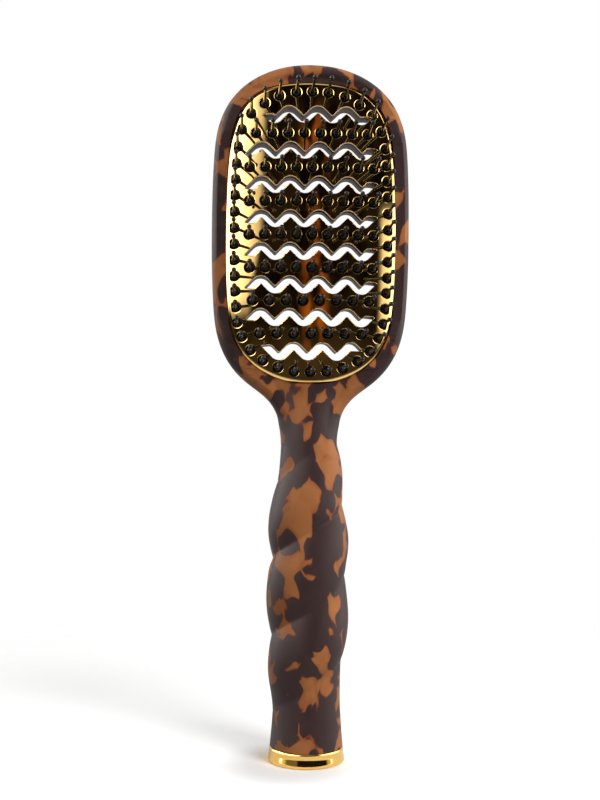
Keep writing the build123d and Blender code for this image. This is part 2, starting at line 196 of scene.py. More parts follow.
def offset_loop(loop, d):
    """Moves a closed counter-clockwise loop inwards by d (outwards if negative)."""
    nxt, prv = np.roll(loop, -1, 0), np.roll(loop, 1, 0)
    t1 = nxt - loop
    t0 = loop - prv
    t1 = t1 / np.maximum(np.linalg.norm(t1, axis=1, keepdims=True), 1e-9)
    t0 = t0 / np.maximum(np.linalg.norm(t0, axis=1, keepdims=True), 1e-9)
    n1 = np.stack([-t1[:, 1], t1[:, 0]], 1)
    n0 = np.stack([-t0[:, 1], t0[:, 0]], 1)
    b = n0 + n1
    bl = np.linalg.norm(b, axis=1, keepdims=True)
    b = b / np.maximum(bl, 1e-9)
    c = np.maximum(np.sum(b * n1, axis=1, keepdims=True), 0.45)
    return loop + b * (d / c)


def slot_ring(slot, extra):
    """Corners and corner radii of a wavy slot."""
    bottom, x0, bends, crest_first, left, right = slot
    w = SLOT_W + extra
    p = SLOT_HALF
    shift = w / math.sqrt(2.0)
    rc = (p - (SLOT_RISE - SLOT_W)) / (2 * (math.sqrt(2) - 1))
    r_out, r_in = rc + w / 2, max(rc - w / 2, 0.25)
    mid = bottom + SLOT_RISE / 2
    xs = [x0 + i * p for i in range(bends)]
    crest = [(i % 2 == 0) == crest_first for i in range(bends)]
    raw = [(x, mid + (p / 2 if c else -p / 2)) for x, c in zip(xs, crest)]
    top = [(x, z + shift) for x, z in raw]
    low = [(x, z - shift) for x, z in raw]
    top_r = [r_out if c else r_in for c in crest]
    low_r = [r_in if c else r_out for c in crest]

    def end(side):
        sign = -1 if side == "left" else 1
        style = left if side == "left" else right
        i = 0 if side == "left" else -1
        is_crest = crest[i]
        if style is not None:
            reach = style + extra
            if is_crest:
                tip = (top[i][0] + sign * reach, top[i][1] - reach)
                q = (low[i][0] + sign * (low[i][1] - tip[1] + 0.35), tip[1] - 0.35)
                return tip, q, "low"
            tip = (low[i][0] + sign * reach, low[i][1] + reach)
            q = (top[i][0] + sign * (tip[1] + 0.35 - top[i][1]), tip[1] + 0.35)
            return tip, q, "top"
        if is_crest:
            level = mid + SLOT_RISE / 2 - SLOT_W - extra
            tip = (top[i][0] + sign * (top[i][1] - level), level)
            q = (low[i][0] - sign * (low[i][1] - level), level)
            return tip, q, "swap_low"
        level = mid - SLOT_RISE / 2 + SLOT_W + extra
        tip = (low[i][0] + sign * (level - low[i][1]), level)
        q = (top[i][0] - sign * (level - top[i][1]), level)
        return tip, q, "swap_top"

    ltip, lq, lk = end("left")
    rtip, rq, rk = end("right")
    tops = list(zip(top, top_r))
    lows = list(zip(low, low_r))
    if lk == "top":
        tops = [(lq, 1.6)] + tops
    elif lk == "low":
        lows = [(lq, 1.6)] + lows
    elif lk == "swap_top":
        tops = [(lq, 0.3)] + tops[1:]
    else:
        lows = [(lq, 0.3)] + lows[1:]
    if rk == "top":
        tops = tops + [(rq, 1.6)]
    elif rk == "low":
        lows = lows + [(rq, 1.6)]
    elif rk == "swap_top":
        tops = tops[:-1] + [(rq, 0.3)]
    else:
        lows = lows[:-1] + [(rq, 0.3)]
    return [(ltip, 0.18)] + tops + [(rtip, 0.18)] + lows[::-1]


def slot_loop(slot, extra, step=0.42):
    """Sampled closed loop of a slot, counter-clockwise in (x, z)."""
    ring = slot_ring(slot, extra)
    n = len(ring)
    cuts = []
    for i in range(n):
        (px, pz), r = ring[i]
        ax, az = ring[i - 1][0]
        bx, bz = ring[(i + 1) % n][0]
        la, lb = math.hypot(ax - px, az - pz), math.hypot(bx - px, bz - pz)
        ua, ub = ((ax - px) / la, (az - pz) / la), ((bx - px) / lb, (bz - pz) / lb)
        dot = max(-1.0, min(1.0, ua[0] * ub[0] + ua[1] * ub[1]))
        half = math.acos(dot) / 2
        t = r / math.tan(half)
        limit = 0.49 * min(la, lb)
        if t > limit:
            r *= limit / t
            t = limit
        start = np.array((px + ua[0] * t, pz + ua[1] * t))
        stop = np.array((px + ub[0] * t, pz + ub[1] * t))
        bis = np.array((ua[0] + ub[0], ua[1] + ub[1]))
        bis /= np.linalg.norm(bis)
        c = np.array((px, pz)) + bis * (r / math.sin(half))
        turn = math.pi - 2 * half
        m = max(3, int(math.ceil(turn * r / step)), int(math.ceil(turn / 0.3)))
        v0, v1 = start - c, stop - c
        a0 = math.atan2(v0[1], v0[0])
        d = math.atan2(v0[0] * v1[1] - v0[1] * v1[0], float(np.dot(v0, v1)))
        arc = [c + r * np.array((math.cos(a0 + d * k / m), math.sin(a0 + d * k / m)))
               for k in range(m + 1)]
        cuts.append(arc)
    pts = []
    for i in range(n):
        arc = cuts[i]
        pts.extend(arc)
        stop, nxt = arc[-1], cuts[(i + 1) % n][0]
        gap = np.linalg.norm(nxt - stop)
        k = int(gap / (step * 1.6))
        for j in range(1, k + 1):
            pts.append(stop + (nxt - stop) * j / (k + 1))
    loop = np.array(pts)
    keep = np.linalg.norm(loop - np.roll(loop, 1, 0), axis=1) > 1e-4
    loop = loop[keep]
    x, z = loop.T
    area = 0.5 * np.sum(x * np.roll(z, -1) - z * np.roll(x, -1))
    return loop if area > 0 else loop[::-1]


# ------------------------------------------------------------------ mesh helpers
def new_mesh_object(name, verts_mm, faces, normals=None, smooth=True, sharp_deg=None):
    mesh = bpy.data.meshes.new(name)
    verts = (np.asarray(verts_mm, float) * MM).tolist()
    mesh.from_pydata(verts, [], [tuple(int(i) for i in f) for f in faces])
    mesh.update()
    if smooth:
        mesh.polygons.foreach_set("use_smooth", [True] * len(mesh.polygons))
    if normals is not None:
        mesh.normals_split_custom_set_from_vertices([tuple(n) for n in normals])
    obj = bpy.data.objects.new(name, mesh)
    bpy.context.scene.collection.objects.link(obj)
    if sharp_deg is not None:
        mark_sharp(obj, sharp_deg)
    return obj


def mark_sharp(obj, degrees):
    import bmesh
    bm = bmesh.new()
    bm.from_mesh(obj.data)
    limit = math.radians(degrees)
    for f in bm.faces:
        f.smooth = True
    for e in bm.edges:
        e.smooth = not (len(e.link_faces) != 2 or e.calc_face_angle(0.0) > limit)
    bm.to_mesh(obj.data)
    bm.free()


def in_polygon(px, pz, loop):
    """Which points lie inside a closed loop."""
    inside = np.zeros(len(px), bool)
    x0, z0 = loop[:, 0], loop[:, 1]
    x1, z1 = np.roll(x0, -1), np.roll(z0, -1)
    for a, b, c, d in zip(x0, z0, x1, z1):
        if b == d:
            continue
        hit = ((pz < b) != (pz < d)) & (px < (c - a) * (pz - b) / (d - b) + a)
        inside ^= hit
    return inside


# ------------------------------------------------------------------ face plate
def build_plate():
    verts, norms, faces = [], [], []
    hole_n, bull, rim = 28, 0.40, 1.25
    slot_bull = 0.26
    outer = plate_outline(300)
    loops2d, kinds = [], []
    loops2d.append(offset_loop(outer, rim))
    hole_loops = []
    ang = np.linspace(0, 2 * math.pi, hole_n, endpoint=False)
    for x, z in FEET:
        hole_loops.append(np.stack([x + (HOLE_R + bull) * np.cos(ang),
                                    z + (HOLE_R + bull) * np.sin(ang)], 1))
    slot_base = [slot_loop(s, 0.0) for s in SLOTS]
    slot_big = [offset_loop(l, -slot_bull) for l in slot_base]
    all_loops = loops2d + hole_loops + slot_big
    # interior points on a staggered grid, clear of every loop
    gx, gz = np.meshgrid(np.arange(-29, 29.1, 1.25), np.arange(131, 235, 1.1))
    gx = gx + (np.arange(gx.shape[0]) % 2)[:, None] * 0.62
    gx, gz = gx.ravel(), gz.ravel()
    ok = in_polygon(gx, gz, offset_loop(outer, rim + 0.6))
    for x, z in FEET:
        ok &= np.hypot(gx - x, gz - z) > HOLE_R + bull + 0.45
    for l in slot_base:
        near = np.ones(len(gx), bool)
        d2 = np.full(len(gx), 1e9)
        for px, pz in l:
            d2 = np.minimum(d2, (gx - px) ** 2 + (gz - pz) ** 2)
        ok &= (d2 > (slot_bull + 0.55) ** 2) & ~in_polygon(gx, gz, l)
    pts = [tuple(p) for l in all_loops for p in l]
    edges = []
    start = 0
    starts = []
    for l in all_loops:
        starts.append(start)
        n = len(l)
        edges += [(start + i, start + (i + 1) % n) for i in range(n)]
        start += n
    n_loop = len(pts)
    pts += list(zip(gx[ok].tolist(), gz[ok].tolist()))
    vec = [Vector((float(p[0]), float(p[1]))) for p in pts]
    v_out, _e, f_out, v_orig, _eo, _fo = delaunay_2d_cdt(vec, edges, [], 0, 1e-6)
    v2 = np.array([(v.x, v.y) for v in v_out])
    tri = np.array([f for f in f_out if len(f) == 3])
    cen = v2[tri].mean(1)
    keep = in_polygon(cen[:, 0], cen[:, 1], loops2d[0])
    for l, (x, z) in zip(hole_loops, FEET):
        keep &= np.hypot(cen[:, 0] - x, cen[:, 1] - z) > (HOLE_R + bull) * math.cos(math.pi / hole_n) - 1e-3
    for l in slot_big:
        keep &= ~in_polygon(cen[:, 0], cen[:, 1], l)
    tri = tri[keep]
    # orient towards -Y: counter-clockwise in (x, z) seen from -Y faces -Y
    a, b, c = v2[tri[:, 0]], v2[tri[:, 1]], v2[tri[:, 2]]
    cr = (b[:, 0] - a[:, 0]) * (c[:, 1] - a[:, 1]) - (b[:, 1] - a[:, 1]) * (c[:, 0] - a[:, 0])
    tri[cr < 0] = tri[cr < 0][:, ::-1]
    top3 = np.stack([v2[:, 0], dome_y(v2[:, 0], v2[:, 1]), v2[:, 1]], 1)
    verts.append(top3)
    norms.append(dome_normal(v2[:, 0], v2[:, 1]))
    faces += [tuple(t) for t in tri]
    # map every loop vertex to the triangulation's vertex
    remap = {}
    for new, olds in enumerate(v_orig):
        for o in olds:
            remap[o] = new
    count = len(top3)
    to_back = {}

    def wall(loop_index, base_loop, outward, bull_r, bull_d, depth, levels=6, turn=math.pi / 2):
        """Rounded edge from the dome down into a wall. outward: unit vectors in (x, z) that
        point away from the material."""
        nonlocal count
        s = starts[loop_index]
        first = [remap[s + i] for i in range(len(all_loops[loop_index]))]
        n = len(all_loops[loop_index])
        prev = [remap[s + i] for i in range(n)]
        big = np.array(all_loops[loop_index])
        nd = dome_normal(big[:, 0], big[:, 1])
        yd = dome_y(big[:, 0], big[:, 1])
        out3 = np.stack([outward[:, 0], np.zeros(n), outward[:, 1]], 1)
        prof = [(bull_r * math.sin(a_) / math.sin(turn), bull_d * (1 - math.cos(a_)) / (1 - math.cos(turn)), a_)
                for a_ in np.linspace(0, turn, levels + 1)[1:]]
        if turn < 1.5:
            prof.append((bull_r + 0.03, bull_d + 0.12, 1.2))
            prof.append((bull_r + 0.05, bull_d + 0.25, math.pi / 2))
        prof.append((prof[-1][0], depth, math.pi / 2))
        for k, (off, dep, a_) in enumerate(prof):
            t = off / bull_r
            xz = big * (1 - t) + base_loop * t
            y = yd * (1 - t) + dome_y(base_loop[:, 0], base_loop[:, 1]) * t + dep
            ring = np.stack([xz[:, 0], y, xz[:, 1]], 1)
            nrm = nd * math.cos(a_) + out3 * math.sin(a_)
            nrm /= np.linalg.norm(nrm, axis=1, keepdims=True)
            verts.append(ring)
            norms.append(nrm)
            cur = list(range(count, count + n))
            count += n
            for i in range(n):
                j = (i + 1) % n
                quad = (prev[i], prev[j], cur[j], cur[i])
                faces.append(quad[::-1] if loop_index == 0 else quad)
            prev = cur
        for front_v, back_v in zip(first, prev):
            to_back[front_v] = back_v

    def outward_of(loop):
        """Away from the loop's inside (loop counter-clockwise)."""
        nxt, prv = np.roll(loop, -1, 0), np.roll(loop, 1, 0)
        t = nxt - prv
        t /= np.maximum(np.linalg.norm(t, axis=1, keepdims=True), 1e-9)
        return np.stack([t[:, 1], -t[:, 0]], 1)

    # outer rim: winding is counter-clockwise, material inside
    wall(0, outer, outward_of(outer), rim, 0.56, PLATE_WALL, levels=10, turn=math.radians(52))
    for i, (x, z) in enumerate(FEET):
        base = np.stack([x + HOLE_R * np.cos(ang), z + HOLE_R * np.sin(ang)], 1)
        wall(1 + i, base, -np.stack([np.cos(ang), np.sin(ang)], 1), bull, bull, PLATE_BACK)
    for i, l in enumerate(slot_base):
        wall(1 + len(FEET) + i, l, -outward_of(l), slot_bull, slot_bull, PLATE_BACK)
    # back of the plate: the same triangles, one skin thickness further in
    inner = [i for i in range(len(top3)) if i not in to_back]
    for k, i in enumerate(inner):
        to_back[i] = count + k
    flat = v2[inner]
    verts.append(np.stack([flat[:, 0], dome_y(flat[:, 0], flat[:, 1]) + PLATE_BACK, flat[:, 1]], 1))
    norms.append(-dome_normal(flat[:, 0], flat[:, 1]))
    count += len(inner)
    faces += [tuple(to_back[i] for i in t)[::-1] for t in tri]
    verts_all = np.vstack(verts)
    norms_all = np.vstack(norms)
    used = np.zeros(len(verts_all), bool)
    for f in faces:
        for i in f:
            used[i] = True
    index = -np.ones(len(verts_all), int)
    index[used] = np.arange(used.sum())
    faces = [tuple(index[i] for i in f) for f in faces]
    return new_mesh_object("face_plate_gilt", verts_all[used], faces, norms_all[used])


PLATE_WALL = 2.4

# ------------------------------------------------------------------ tortoise body
valley_f, lobe_f = spline_table(VALLEY_R), spline_table(LOBE_R)
NECK_HW = spline_table([(108, 9.65), (113, 9.6), (116, 9.45), (119, 9.5), (123, 10.3), (128, 12.2),
                        (133, 14.2), (138, 15.0), (144, 14.0), (150, 11.0), (156, 7.0)])
NECK_HD = spline_table([(108, 9.65), (113, 9.35), (117, 8.85), (121, 8.1), (125, 7.15), (129, 6.1),
                        (133, 5.2), (138, 4.3), (144, 3.2), (150, 2.0), (156, 0.8)])
NECK_YC = spline_table([(108, 0.0), (116, -0.05), (128, -0.3), (140, -0.5), (156, -0.5)])


def twist_radius(angle, z):
    """angle 0 at -X, a quarter turn at -Y, half a turn at +X."""
    t = np.mod(angle / (2 * math.pi), 1.0)
    lean = TWIST_LEAN + 1.1 * np.exp(-((z - 66.0) / 9.0) ** 2)
    rise = TWIST_PITCH * t + lean * (1 - np.cos(2 * math.pi * t))
    along = z - rise
    phase = (along - TWIST_TOP) / TWIST_PITCH
    s = np.sqrt(np.sin(math.pi * phase) ** 2 + 0.0035) - math.sqrt(0.0035)
    s = np.clip(s / (math.sqrt(1.0035) - math.sqrt(0.0035)), 0, 1) ** 0.8
    inside = (along > TWIST_BOTTOM) & (along < TWIST_TOP)
    best = np.where(inside, s, 0.0)
    # the last strand sinks into the neck at the back left
    u = np.clip((t - 0.66) / 0.26, 0, 1) * np.clip((z - 96.0) / 3.5, 0, 1)
    best = best * (1 - u * u * (3 - 2 * u))
    v = valley_f(z)
    return v + (lobe_f(z) - v) * best


head_right = [(w, z) for z, w in HEAD]
head_curve = param_spline(head_right + [(0.0, TOTAL)] + [(-x, z) for x, z in reversed(head_right)], 700)
low_right = [(3.0, 104.0), (6.2, 107.5), (8.2, 111.5)]
HEAD_LOOP = np.vstack([[(0.0, 103.0)], low_right,
                       head_curve[(head_curve[:, 1] > 116.5)],
                       [(-x, z) for x, z in reversed(low_right)]])
# distance to the head outline on a fine grid
GX0, GX1, GZ0, GZ1, GS = -46.0, 46.0, 98.0, 250.0, 0.4
_gx = np.arange(GX0, GX1 + GS, GS)
_gz = np.arange(GZ0, GZ1 + GS, GS)


def _distance_grid():
    X, Z = np.meshgrid(_gx, _gz)
    px, pz = X.ravel(), Z.ravel()
    best = np.full(px.shape, 1e9)
    a = HEAD_LOOP
    b = np.roll(a, -1, 0)
    for (x0, z0), (x1, z1) in zip(a, b):
        dx, dz = x1 - x0, z1 - z0
        ll = dx * dx + dz * dz
        if ll < 1e-12:
            continue
        t = np.clip(((px - x0) * dx + (pz - z0) * dz) / ll, 0, 1)
        d = (px - x0 - t * dx) ** 2 + (pz - z0 - t * dz) ** 2
        best = np.minimum(best, d)
    d = np.sqrt(best)
    d[in_polygon(px, pz, HEAD_LOOP)] *= -1
    return d.reshape(X.shape)


DGRID = _distance_grid()


def outline_distance(x, z):
    """Signed distance to the head outline in the XZ plane, negative inside."""
    fx = np.clip((x - GX0) / GS, 0, len(_gx) - 1.001)
    fz = np.clip((z - GZ0) / GS, 0, len(_gz) - 1.001)
    i, j = fx.astype(int), fz.astype(int)
    u, v = fx - i, fz - j
    return ((DGRID[j, i] * (1 - u) + DGRID[j, i + 1] * u) * (1 - v)
            + (DGRID[j + 1, i] * (1 - u) + DGRID[j + 1, i + 1] * u) * v)


RING_R = 4.35
HALF_T = (RING_BACK - RING_FRONT) / 2
MID_Y = (RING_BACK + RING_FRONT) / 2


def body_field(x, y, z):
    """Signed distance like field of the tortoise body."""
    d = outline_distance(x, z)
    q1 = d + RING_R
    q2 = np.abs(y - MID_Y) - (HALF_T - RING_R)
    head = np.hypot(np.maximum(q1, 0), np.maximum(q2, 0)) + np.minimum(np.maximum(q1, q2), 0) - RING_R
    # the ring's front face rolls down towards the plate
    ring_in = np.clip((-d - 2.7) / 2.2, 0, 1)
    head = np.where(y < MID_Y, head + 1.2 * ring_in ** 2, head)
    # handle and neck
    yc = NECK_YC(z)
    rho = np.hypot(x, y - yc)
    ang = np.arctan2(-(y - yc), -x)
    r_twist = twist_radius(np.mod(ang, 2 * math.pi), z)
    hw, hd = NECK_HW(z), NECK_HD(z)
    c, s = x / np.maximum(rho, 1e-9), (y - yc) / np.maximum(rho, 1e-9)
    r_ell = 1.0 / np.sqrt((c / hw) ** 2 + (s / hd) ** 2)
    m = np.clip((z - 108.0) / 6.0, 0, 1)
    m = m * m * (3 - 2 * m)
    r = r_twist * (1 - m) + r_ell * m
    handle = rho - r + np.clip((z - 146.0) / 8.0, 0, 1) * 40.0
    head = np.where(z < 106, 50.0, head)
    k = 2.6
    h = np.clip(0.5 + 0.5 * (handle - head) / k, 0, 1)
    return handle * (1 - h) + head * h - k * h * (1 - h)


def build_body(n_around=256):
    z_low = CAP_TOP + 0.06
    zs = list(np.arange(z_low, 113.0, 0.62)) + list(np.arange(113.0, 232.0, 0.9))
    t = np.linspace(0, 1, 34)[1:]
    zs += list(232.0 + (TOTAL - 0.012 - 232.0) * np.sin(t * math.pi / 2))
    zs = np.array(zs)
    nz = len(zs)
    yc = NECK_YC(zs)

    def reach(dirx, diry, zz, cy):
        lo = np.zeros(dirx.shape)
        hi = np.full(dirx.shape, 46.0)
        for _ in range(34):
            mid = (lo + hi) / 2
            v = body_field(dirx * mid, cy + diry * mid, zz)
            lo = np.where(v < 0, mid, lo)
            hi = np.where(v < 0, hi, mid)
        return (lo + hi) / 2

    w = reach(np.ones(nz), np.zeros(nz), zs, yc)
    d = reach(np.zeros(nz), -np.ones(nz), zs, yc)
    al = np.linspace(0, 2 * math.pi, n_around, endpoint=False)
    A, Z = np.meshgrid(al, zs)
    W, D, C = w[:, None], d[:, None], yc[:, None] * np.ones_like(A)
    dx, dy = W * np.cos(A), D * np.sin(A)
    ln = np.hypot(dx, dy)
    dx, dy = dx / ln, dy / ln
    r = reach(dx, dy, Z, C)
    X, Y = dx * r, C + dy * r
    verts = np.stack([X, Y, Z], -1).reshape(-1, 3)
    faces = []
    n = n_around
    for i in range(nz - 1):
        a, b = i * n, (i + 1) * n
        faces += [(a + j, a + (j + 1) % n, b + (j + 1) % n, b + j) for j in range(n)]
    top = len(verts)
    verts = np.vstack([verts, [(0, MID_Y, TOTAL)], [(0, 0, z_low)]])
    b = (nz - 1) * n
    faces += [(b + j, b + (j + 1) % n, top) for j in range(n)]
    faces += [((j + 1) % n, j, top + 1) for j in range(n)]
    return new_mesh_object("tortoise_body", verts, faces)


CAP_TOP = 5.2


def prism_from_loop(name, loop, y0, y1):
    """Closed prism along Y from a counter-clockwise loop. y0 and y1 may be functions of (x, z)."""
    n = len(loop)
    f0 = y0(loop[:, 0], loop[:, 1]) if callable(y0) else np.full(n, y0)
    f1 = y1(loop[:, 0], loop[:, 1]) if callable(y1) else np.full(n, y1)
    v = np.vstack([np.stack([loop[:, 0], f0, loop[:, 1]], 1),
                   np.stack([loop[:, 0], f1, loop[:, 1]], 1)])
    faces = [tuple(range(n)), tuple(range(2 * n - 1, n - 1, -1))]
    faces += [(i, n + i, n + (i + 1) % n, (i + 1) % n) for i in range(n)]
    return new_mesh_object(name, v, faces, smooth=False)


def region_solid(name, outer, holes, y_front, y_back, grid=1.6, smooth=False):
    """Closed solid over a region with holes, between two surfaces y(x, z)."""
    gx, gz = np.meshgrid(np.arange(-30, 30.1, grid), np.arange(130, 236, grid))
    gx, gz = gx.ravel(), gz.ravel()
    ok = in_polygon(gx, gz, offset_loop(outer, 0.5 * grid))
    for h in holes:
        d2 = np.full(len(gx), 1e9)
        for px, pz in h:
            d2 = np.minimum(d2, (gx - px) ** 2 + (gz - pz) ** 2)
        ok &= ~in_polygon(gx, gz, h) & (d2 > (0.45 * grid) ** 2)
    loops = [outer] + list(holes)
    pts, edges, start = [], [], 0
    for l in loops:
        n = len(l)
        pts += [Vector((float(x), float(z))) for x, z in l]
        edges += [(start + i, start + (i + 1) % n) for i in range(n)]
        start += n
    pts += [Vector((float(x), float(z))) for x, z in zip(gx[ok], gz[ok])]
    v_out, _e, f_out, v_orig, _a, _b = delaunay_2d_cdt(pts, edges, [], 0, 1e-6)
    v2 = np.array([(v.x, v.y) for v in v_out])
    remap = {}
    for new, olds in enumerate(v_orig):
        for o in olds:
            remap[o] = new
    tri = np.array([f for f in f_out if len(f) == 3])
    cen = v2[tri].mean(1)
    keep = in_polygon(cen[:, 0], cen[:, 1], outer)
    for h in holes:
        keep &= ~in_polygon(cen[:, 0], cen[:, 1], h)
    tri = tri[keep]
    a, b, c = v2[tri[:, 0]], v2[tri[:, 1]], v2[tri[:, 2]]
    cr = (b[:, 0] - a[:, 0]) * (c[:, 1] - a[:, 1]) - (b[:, 1] - a[:, 1]) * (c[:, 0] - a[:, 0])
    tri[cr < 0] = tri[cr < 0][:, ::-1]
    m = len(v2)
    front = np.stack([v2[:, 0], y_front(v2[:, 0], v2[:, 1]), v2[:, 1]], 1)
    back = np.stack([v2[:, 0], y_back(v2[:, 0], v2[:, 1]), v2[:, 1]], 1)
    faces = [tuple(t) for t in tri] + [tuple(int(i) + m for i in t)[::-1] for t in tri]
    start = 0
    for k, l in enumerate(loops):
        n = len(l)
        for i in range(n):
            p, q = remap[start + i], remap[start + (i + 1) % n]
            if p == q:
                continue
            quad = (p, p + m, q + m, q)
            faces.append(quad if k == 0 else quad[::-1])
        start += n
    used = np.zeros(2 * m, bool)
    for f in faces:
        for i in f:
            used[i] = True
    index = -np.ones(2 * m, int)
    index[used] = np.arange(used.sum())
    verts = np.vstack([front, back])[used]
    faces = [tuple(int(index[i]) for i in f) for f in faces]
    return new_mesh_object(name, verts, faces, smooth=smooth)


def level(y):
    return lambda x, z: np.full(len(x), float(y))


def below_dome(depth):
    return lambda x, z: dome_y(x, z, depth)


def apply_boolean(obj, cutters):
    col = bpy.data.collections.new("cutters")
    for c in cutters:
        for k in list(c.users_collection):
            k.objects.unlink(c)
        col.objects.link(c)
    mod = obj.modifiers.new("cut", "BOOLEAN")
    mod.operation = "DIFFERENCE"
    mod.operand_type = "COLLECTION"
    mod.collection = col
    mod.solver = "EXACT"
    dg = bpy.context.evaluated_depsgraph_get()
    dg.update()
    mesh = bpy.data.meshes.new_from_object(obj.evaluated_get(dg))
    obj.modifiers.remove(mod)
    old = obj.data
    obj.data = mesh
    mesh.name = old.name
    bpy.data.meshes.remove(old)
    for c in cutters:
        m = c.data
        bpy.data.objects.remove(c)
        bpy.data.meshes.remove(m)
    bpy.data.collections.remove(col)


# ------------------------------------------------------------------ lathe pieces
def lathe(name, profile, n=96, axis="Z", centre=(0, 0, 0)):
    """Turned solid from (radius, height) pairs, closed on the axis at both ends."""
    verts, faces, rings = [], [], []
    ang = np.linspace(0, 2 * math.pi, n, endpoint=False)
    for r, h in profile:
        if r < 1e-6:
            rings.append([len(verts)])
            verts.append((0, 0, h))
        else:
            rings.append(list(range(len(verts), len(verts) + n)))
            verts += [(r * math.cos(a), r * math.sin(a), h) for a in ang]
    for a, b in zip(rings, rings[1:]):
        for i in range(n):
            j = (i + 1) % n
            if len(a) == 1:
                faces.append((a[0], b[i], b[j])[::-1])
            elif len(b) == 1:
                faces.append((a[i], a[j], b[0]))
            else:
                faces.append((a[i], a[j], b[j], b[i]))
    v = np.array(verts)
    if axis == "Y":
        v = v[:, [0, 2, 1]]
        faces = [f[::-1] for f in faces]
    v = v + np.array(centre)
    return v, faces


def arc(cx, cz, r, a0, a1, n):
    return [(cx + r * math.cos(math.radians(a0 + (a1 - a0) * i / n)),
             cz + r * math.sin(math.radians(a0 + (a1 - a0) * i / n))) for i in range(n + 1)]


def pin_profile(yc):
    """(radius, y) from the back of the ball foot to the tip."""
    pts = [(0.0, yc + FOOT_R)]
    a_end = math.degrees(math.acos(-1)) - math.degrees(math.asin(PIN_ROOT_R / FOOT_R))
    for i in range(1, 15):
        a = math.radians(a_end * i / 14)
        pts.append((FOOT_R * math.sin(a), yc + FOOT_R * math.cos(a)))
    # short flared root, then a slender taper
    y_foot = pts[-1][1]
    tip_c = PIN_TIP_Y + PIN_TIP_R
    y_ball = tip_c + math.sqrt(PIN_TIP_R ** 2 - PIN_NECK_R ** 2)
    for t in (0.08, 0.3, 0.6, 1.0):
        pts.append((PIN_ROOT_R + (PIN_NECK_R - PIN_ROOT_R) * t, y_foot + (y_ball - y_foot) * t))
    a0 = math.asin(PIN_NECK_R / PIN_TIP_R)
    for i in range(1, 13):
        a = a0 + (math.pi - a0) * i / 12
        pts.append((PIN_TIP_R * math.sin(a), tip_c + PIN_TIP_R * math.cos(a)))
    pts[-1] = (0.0, PIN_TIP_Y)
    return pts


def build_pins(name, points):
    verts, faces = [], []
    off = 0
    for x, z in points:
        yc = float(dome_y(np.array(x), np.array(z), FOOT_DEPTH))
        v, f = lathe(name, pin_profile(yc), n=24, axis="Y", centre=(x, 0, z))
        verts.append(v)
        faces += [tuple(i + off for i in q) for q in f]
        off += len(v)
    obj = new_mesh_object(name + "_gloss", np.vstack(verts), faces)
    fix_normals(obj)
    return obj


def fix_normals(obj):
    import bmesh
    bm = bmesh.new()
    bm.from_mesh(obj.data)
    bmesh.ops.recalc_face_normals(bm, faces=bm.faces)
    bm.to_mesh(obj.data)
    bm.free()


def build_cap():
    prof = [(0.0, 0.0), (11.6, 0.0), (12.3, 0.0)]
    prof += arc(12.5, 0.85, 0.85, -90, 8, 10)
    prof += [(13.24, 1.5), (13.10, 2.3), (12.98, 2.95), (12.93, 3.25), (12.92, 3.5), (12.93, 4.1)]
    prof += arc(12.23, 4.5, 0.7, 0, 90, 8)
    prof += [(11.9, 5.2), (11.2, 5.2), (8.5, 5.2), (8.5, 12.0), (7.0, 12.0), (7.0, 3.0), (0.0, 3.0)]
    v, f = lathe("cap", prof, n=160)
    obj = new_mesh_object("end_cap_gilt", v, f)
    fix_normals(obj)
    mark_sharp(obj, 32)
    return obj


# ------------------------------------------------------------------ materials
def node(nt, kind, x=0, y=0, **props):
    n = nt.nodes.new(kind)
    n.location = (x, y)
    for k, v in props.items():
        setattr(n, k, v)
    return n


def new_material(name):
    m = bpy.data.materials.new(name)
    m.use_nodes = True
    nt = m.node_tree
    bsdf = next(n for n in nt.nodes if n.type == "BSDF_PRINCIPLED")
    return m, nt, bsdf


def srgb(r, g, b):
    def lin(c):
        c /= 255.0
        return c / 12.92 if c <= 0.04045 else ((c + 0.055) / 1.055) ** 2.4
    return (lin(r), lin(g), lin(b), 1.0)


def ramp(nt, stops, interpolation="LINEAR"):
    r = node(nt, "ShaderNodeValToRGB")
    r.color_ramp.interpolation = interpolation
    els = r.color_ramp.elements
    while len(els) > 1:
        els.remove(els[-1])
    els[0].position, els[0].color = stops[0]
    for p, c in stops[1:]:
        e = els.new(p)
        e.color = c
    return r


